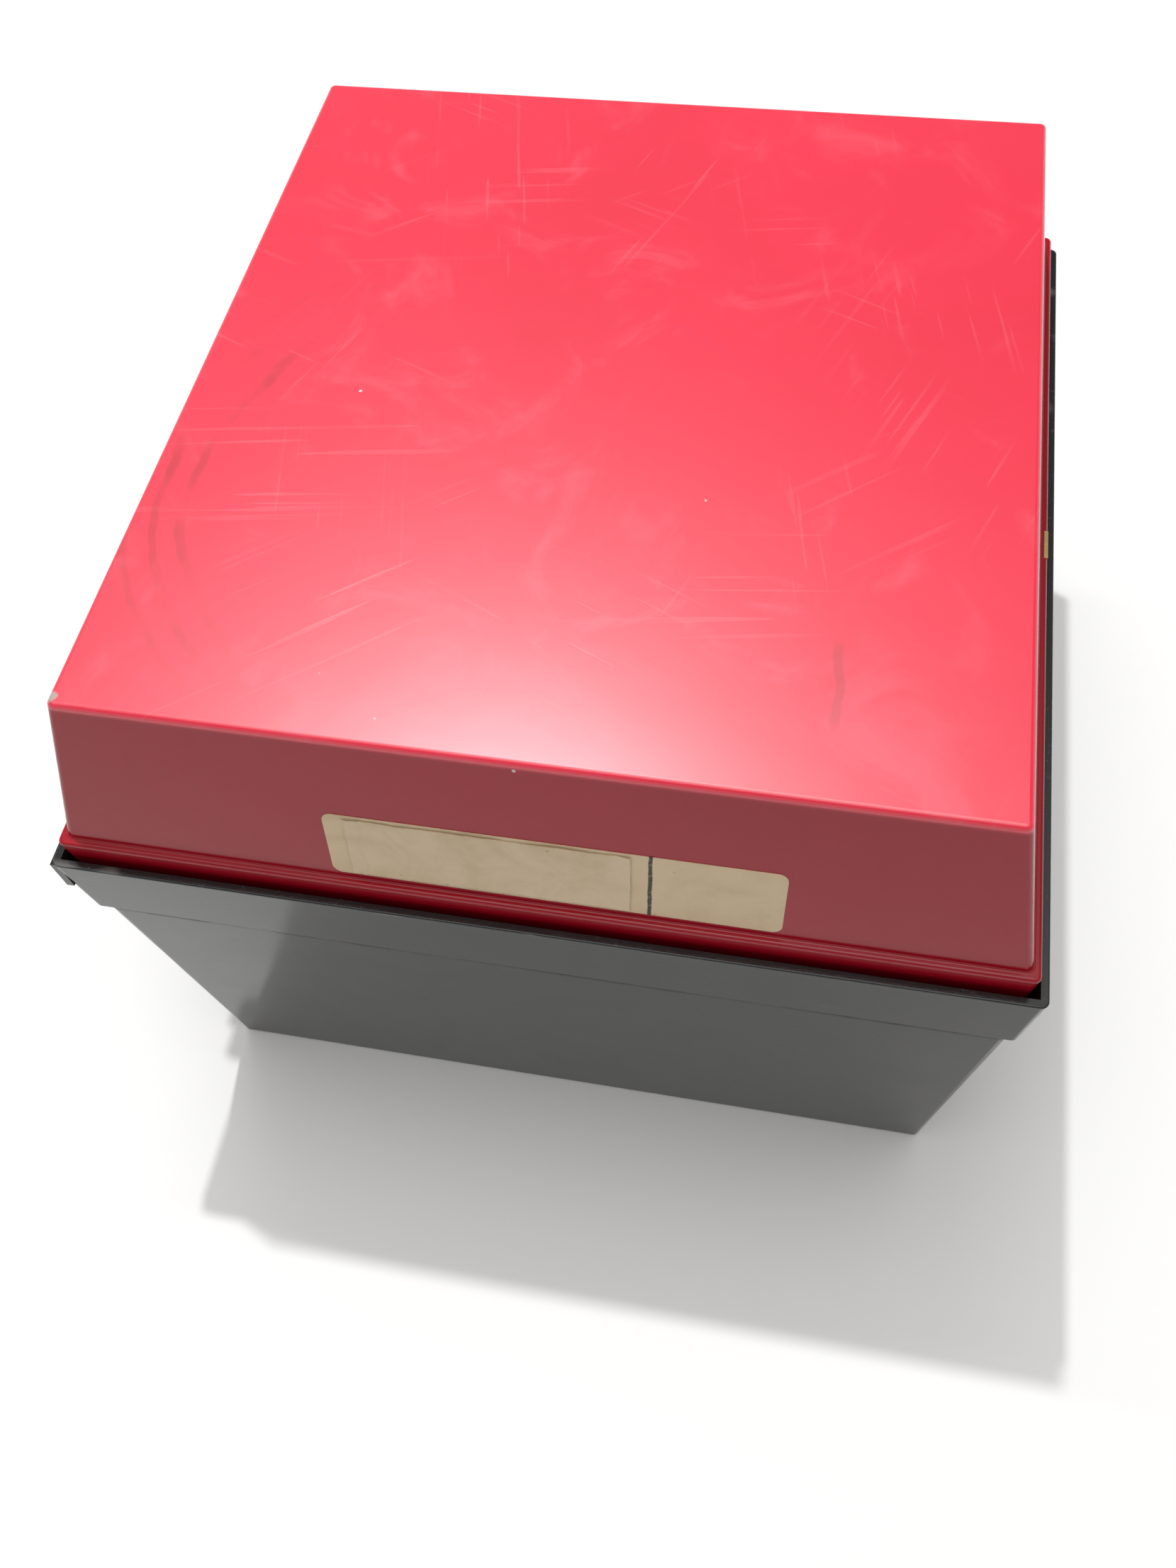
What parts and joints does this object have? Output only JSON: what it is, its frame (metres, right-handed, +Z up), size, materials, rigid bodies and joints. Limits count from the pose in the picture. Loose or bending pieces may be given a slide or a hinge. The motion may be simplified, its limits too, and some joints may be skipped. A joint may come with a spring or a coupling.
{
  "type": "jack in the box",
  "caption": "Tapered dark plastic box with a sloped red hinged lid, a snap catch and a paper label; inside, a capped head on a coil spring rises as the lid opens.",
  "frame": {"origin": "middle of the tub's flat bottom, on the surface the box stands on", "axes": "+Z up, +X towards the catch, +Y towards the back; the label faces -Y and the lid hinges on the -X side"},
  "size_m": [0.1737, 0.1788, 0.1286],
  "materials": {
    "tub_plastic": "satin moulded plastic, dark grey, lightly scuffed",
    "lid_plastic": "gloss moulded plastic, red, lightly scratched",
    "pin_steel": "bright drawn steel",
    "catch_brass": "rolled brass, slightly dull",
    "label_paper": "aged cream paper",
    "strip_paper": "aged cream paper, wrinkled",
    "plywood": "birch plywood, bare",
    "spring_steel": "oiled spring steel wire",
    "sleeve_cloth": "woven cotton, striped",
    "hoop_wood": "beech, bare",
    "ruff_cloth": "pleated cotton",
    "head_wood": "turned wood, painted flesh tone, satin",
    "nose_wood": "turned wood, painted red, gloss",
    "eye_button": "polished black button",
    "cap_felt": "pressed felt",
    "bobble_wool": "wool"
  },
  "bodies": {
    "base": {"base_shell": "tub_plastic", "hinge_pin_front": "pin_steel", "hinge_pin_rear": "pin_steel", "catch_leaf": "catch_brass", "catch_rivets": "catch_brass", "spring_board": "plywood", "board_screws": "pin_steel", "main_spring": "spring_steel", "spring_clips_lower": "pin_steel", "sleeve": "sleeve_cloth", "sleeve_hoop_lower": "hoop_wood"},
    "lid": {"lid_shell": "lid_plastic", "catch_keeper": "catch_brass", "label_backing": "label_paper", "label_strip": "strip_paper"},
    "jack": {"body_disc": "plywood", "sleeve_hoop_upper": "hoop_wood", "spring_clips_upper": "pin_steel", "neck_dowel": "hoop_wood", "neck_screw": "pin_steel", "ruff": "ruff_cloth", "head": "head_wood", "nose": "nose_wood", "eyes": "eye_button", "cap": "cap_felt", "cap_bobble": "bobble_wool"}
  },
  "joints": [
    {"name": "lid_hinge", "type": "hinge", "parent": "base", "child": "lid", "pos_m": [-0.08629, 0, 0.0927], "axis": [0, -1, 0], "range_deg": [0, 110]},
    {"name": "jack_rise", "type": "slide", "parent": "base", "child": "jack", "axis": [0, 0, 1], "range_m": [0, 0.13], "deforming": ["main_spring", "sleeve"]}
  ],
  "couplings": [
    {"joint": "jack_rise", "follows": "lid_hinge", "m_per_rad": 0.0677}
  ]
}
